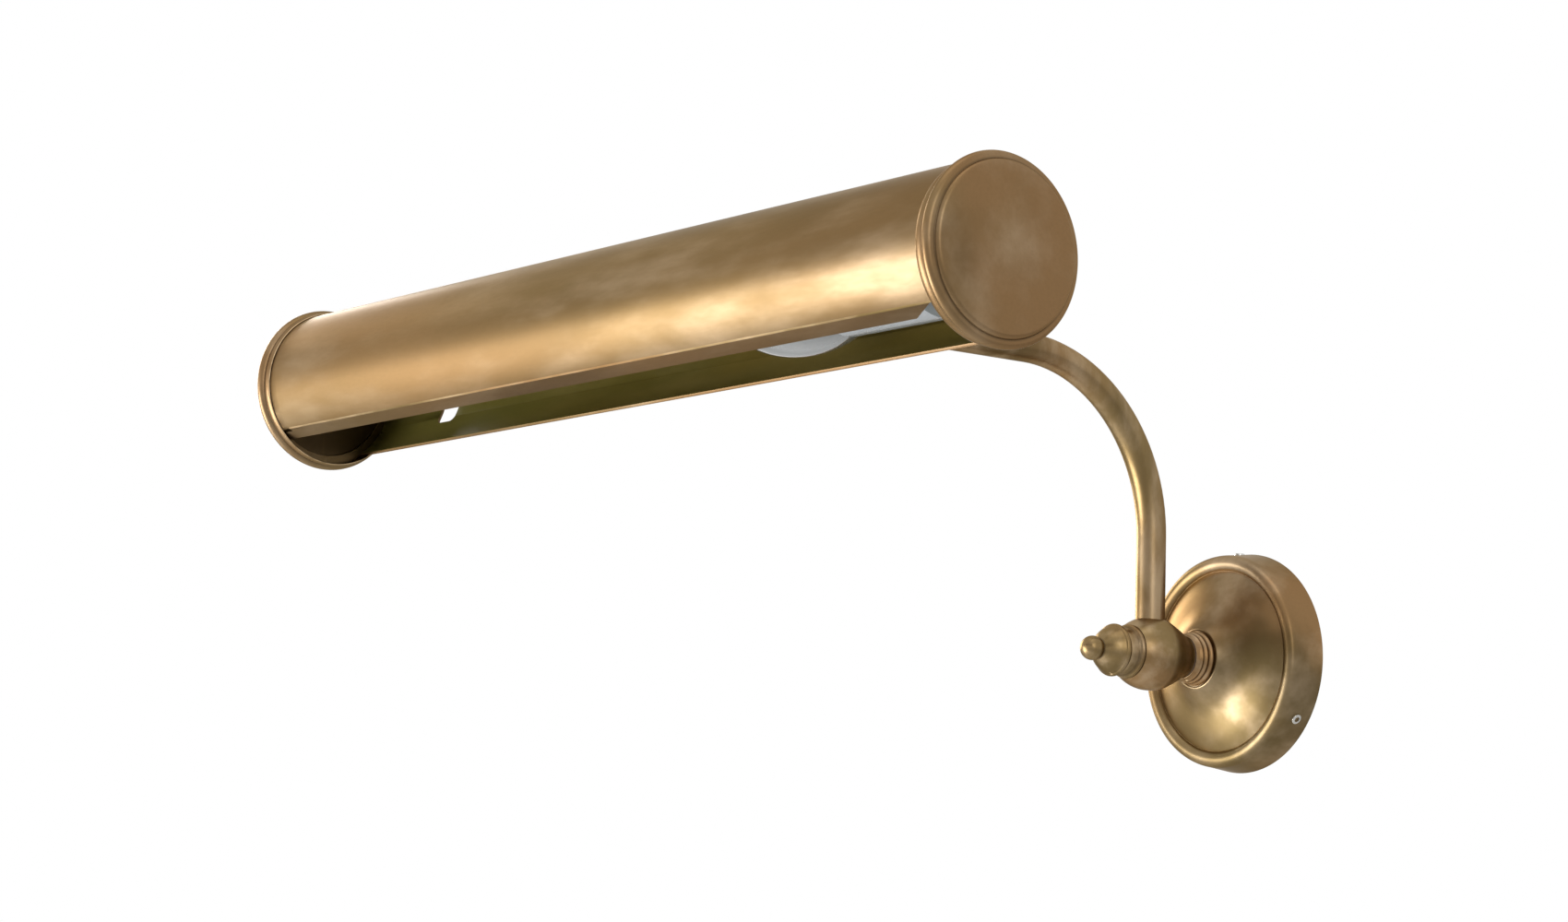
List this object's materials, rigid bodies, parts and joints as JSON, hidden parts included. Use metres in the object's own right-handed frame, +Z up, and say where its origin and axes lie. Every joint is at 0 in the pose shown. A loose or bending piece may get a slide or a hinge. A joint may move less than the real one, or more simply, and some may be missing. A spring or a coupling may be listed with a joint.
{
  "type": "wall picture light",
  "caption": "Wall picture light: round rose, knuckle and finial, bent arm, swivel, and a long tubular shade open below with turned end caps and a screw lamp.",
  "frame": {"origin": "centre of the wall plate's back face, on the wall", "axes": "+X along the shade, towards the end that holds the lamp; +Y into the wall, so the fitting reaches out along -Y; +Z up"},
  "size_m": [0.4, 0.3249, 0.1651],
  "materials": {
    "antique_brass": "lacquered antique patina, satin",
    "zinc_steel": "zinc plated",
    "nickel_screw": "nickel plated, satin",
    "brass_screw": "plain brass",
    "tinned_tag": "tinned",
    "white_insulator": "matte",
    "fibre_washer": "matte fibre",
    "flex_sheath": "matte sheath",
    "holder_sleeve": "gloss",
    "holder_black": "gloss moulding",
    "bare_aluminium": "bare",
    "lamp_glass": "silvered and glossy"
  },
  "bodies": {
    "wall_mount": {"wall_plate": "zinc_steel", "rose_cover": "antique_brass", "rose_grub_screws": "nickel_screw", "terminal_block": "white_insulator", "terminal_screws": "brass_screw", "block_fixing_screws": "zinc_steel", "earth_screw": "brass_screw", "earth_tag": "tinned_tag", "spigot_tube": "antique_brass", "spigot_lock_nut": "brass_screw", "spigot_washer": "zinc_steel", "neck_collar": "antique_brass", "knuckle_washer": "fibre_washer", "rose_flex": "flex_sheath"},
    "arm": {"knuckle_body": "antique_brass", "clamp_ring": "antique_brass", "arm_tube": "antique_brass", "arm_flex": "flex_sheath", "swivel_arm_half": "antique_brass", "swivel_washer": "fibre_washer", "swivel_pin": "antique_brass", "swivel_nut": "antique_brass"},
    "finial": {"finial_knob": "antique_brass"},
    "shade": {"swivel_shade_half": "antique_brass", "stud_nut": "brass_screw", "shade_tube": "antique_brass", "right_end_cap": "antique_brass", "left_end_cap": "antique_brass", "lampholder_shell": "holder_sleeve", "lampholder_core": "holder_black", "lampholder_liner": "brass_screw", "lampholder_contact": "brass_screw", "lampholder_ring": "bare_aluminium", "lampholder_dome": "holder_black", "holder_nipple": "zinc_steel", "holder_nut": "zinc_steel", "lampholder_bracket": "zinc_steel", "lamp_globe": "lamp_glass", "lamp_cap": "bare_aluminium", "shade_flex": "flex_sheath"}
  },
  "joints": [
    {"name": "arm_level", "type": "hinge", "parent": "wall_mount", "child": "arm", "pos_m": [0, -0.0496, 0], "axis": [0, 1, 0], "range_deg": [-10, 10]},
    {"name": "shade_tilt", "type": "hinge", "parent": "arm", "child": "shade", "pos_m": [0, -0.25188, 0.1088], "axis": [1, 0, 0], "range_deg": [-40, 40]},
    {"name": "finial_turn", "type": "hinge", "parent": "wall_mount", "child": "finial", "pos_m": [0, -0.0735, 0], "axis": [0, 1, 0], "range_deg": [0, 90]}
  ]
}
